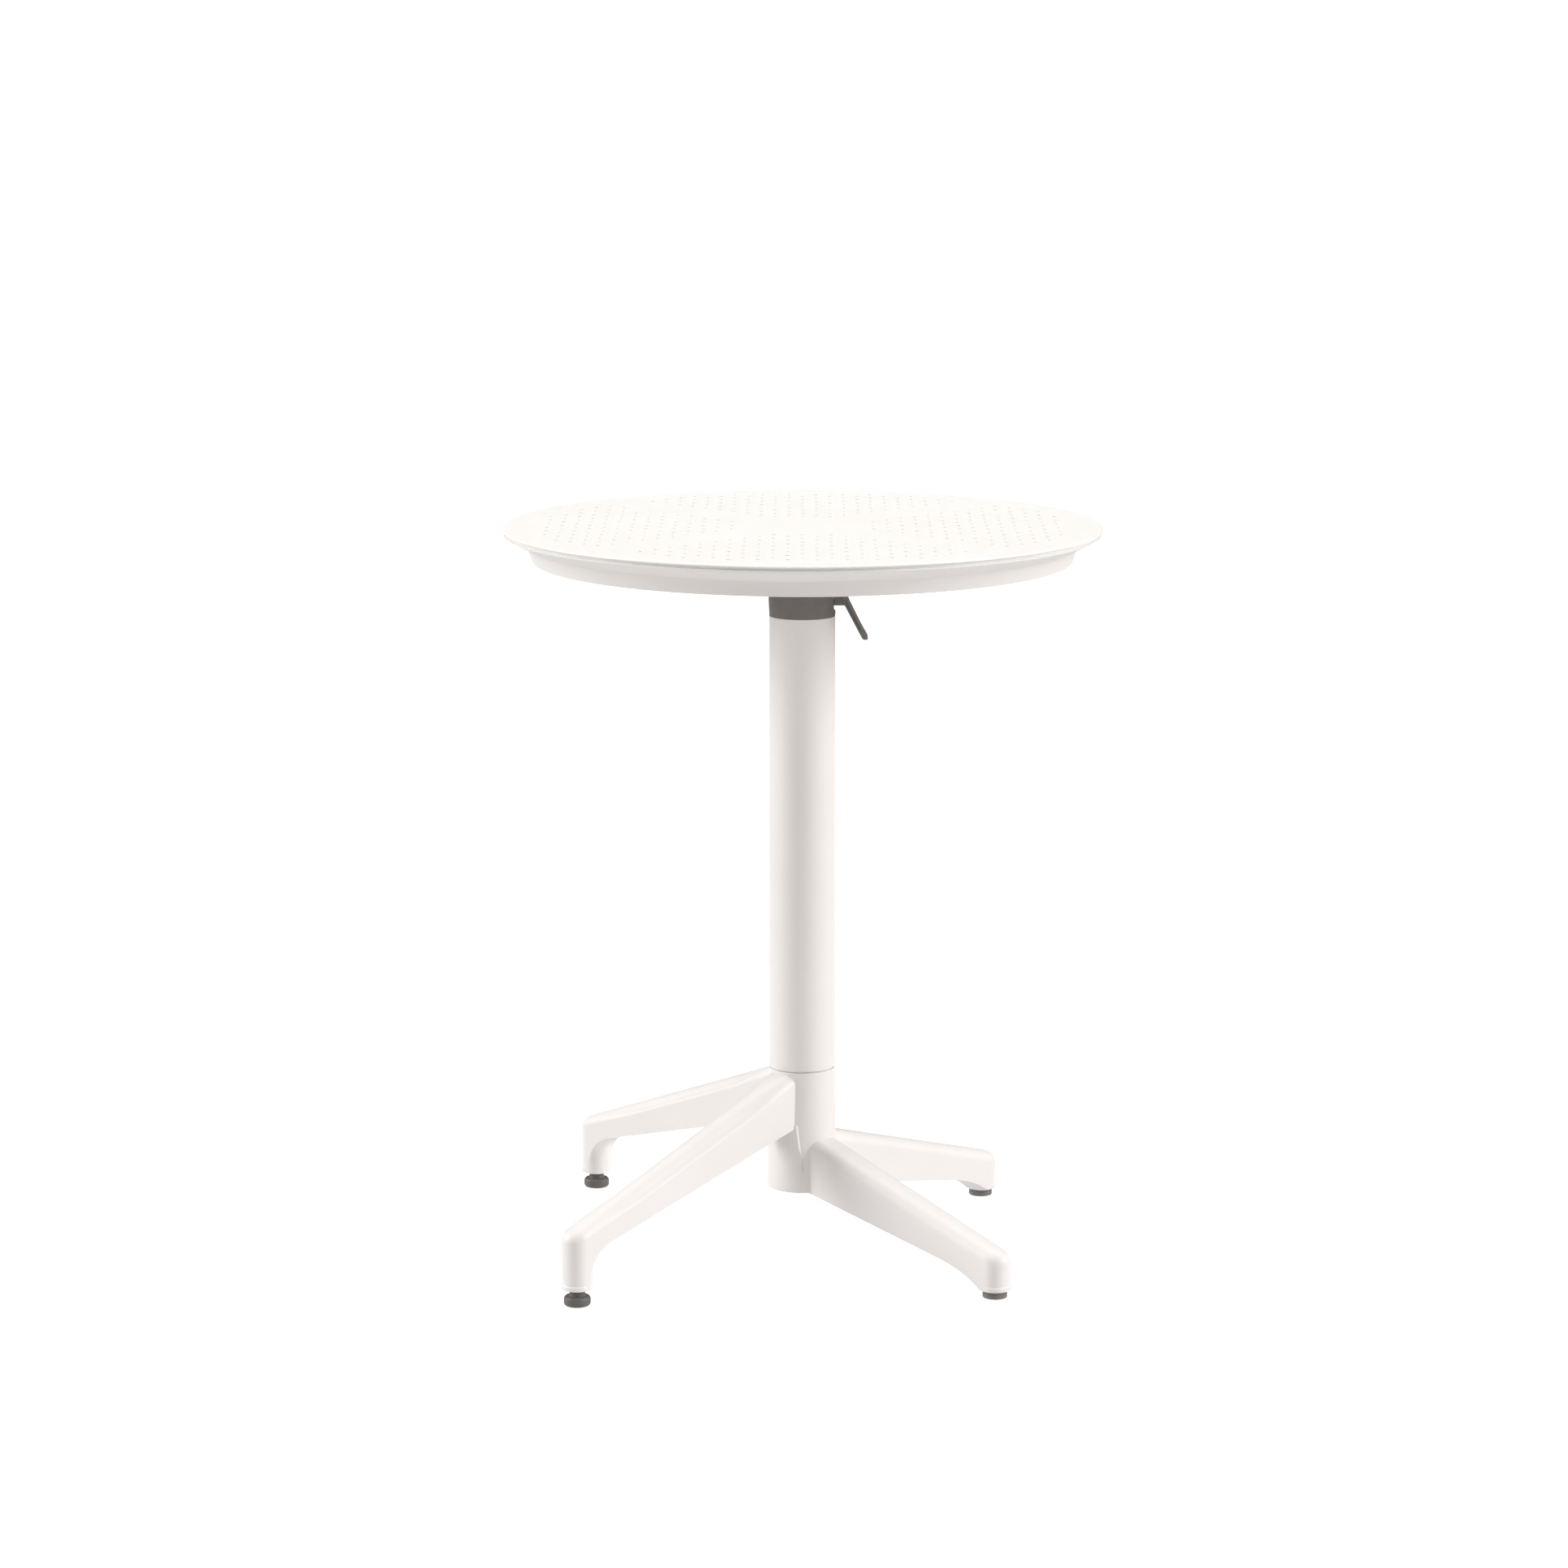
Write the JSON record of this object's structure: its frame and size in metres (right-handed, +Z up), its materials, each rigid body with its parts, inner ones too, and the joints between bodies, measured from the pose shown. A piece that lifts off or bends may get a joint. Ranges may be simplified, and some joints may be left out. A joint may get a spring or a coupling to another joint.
{
  "type": "bistro table",
  "caption": "Round perforated table top that tilts on a pedestal column with a cast splayed base and levelling feet.",
  "frame": {"origin": "on the floor, under the column's axis", "axes": "+Z up along the column; +X towards the release lever; the top tilts down over the long legs on the -X side"},
  "size_m": [0.5999, 0.6, 0.742],
  "materials": {
    "top_panel": "fine satin moulded polymer, off-white",
    "apron": "fine satin moulded polymer, off-white",
    "base_coat": "off-white powder coat on die-cast aluminium",
    "column_coat": "off-white powder coat on steel tube",
    "dark_polymer": "dark grey glass-filled polymer, fine texture",
    "bracket_cast": "dark grey coated die-cast aluminium",
    "glide_polymer": "dark grey polymer, satin",
    "rubber": "black rubber",
    "zinc_steel": "zinc-plated steel",
    "brass": "turned brass",
    "nylon": "natural nylon"
  },
  "bodies": {
    "base": {"base_casting": "base_coat", "column_tube": "column_coat", "tie_rod": "zinc_steel", "tie_rod_washers": "zinc_steel", "tie_rod_nuts": "zinc_steel", "column_head": "dark_polymer", "bump_stops": "rubber", "pivot_pin": "zinc_steel", "pivot_clips": "zinc_steel", "glide_inserts": "brass", "front_right_pad": "glide_polymer", "back_right_pad": "glide_polymer"},
    "tabletop": {"table_top": "top_panel", "apron_frame": "apron", "panel_screws": "zinc_steel", "tilt_bracket": "bracket_cast", "bracket_screws": "zinc_steel", "thrust_washers": "nylon", "lever_pin": "zinc_steel", "lever_spring": "zinc_steel"},
    "release_lever": {"release_lever": "dark_polymer"},
    "front_left_glide": {"front_left_glide": "glide_polymer", "front_left_glide_stud": "zinc_steel"},
    "back_left_glide": {"back_left_glide": "glide_polymer", "back_left_glide_stud": "zinc_steel"}
  },
  "joints": [
    {"name": "top_tilt", "type": "hinge", "parent": "base", "child": "tabletop", "pos_m": [-0.024, 0, 0.69], "axis": [0, -1, 0], "range_deg": [0, 90]},
    {"name": "lever_pull", "type": "hinge", "parent": "tabletop", "child": "release_lever", "pos_m": [0.038, 0, 0.686], "axis": [0, -1, 0], "range_deg": [0, 22], "stiffness_Nm_per_rad": 0.5, "springref_deg": -17.19, "deforming": ["lever_spring"]},
    {"name": "front_left_glide_travel", "type": "slide", "parent": "base", "child": "front_left_glide", "axis": [0, 0, -1], "range_m": [0, 0.01]},
    {"name": "back_left_glide_travel", "type": "slide", "parent": "base", "child": "back_left_glide", "axis": [0, 0, -1], "range_m": [0, 0.01]}
  ]
}
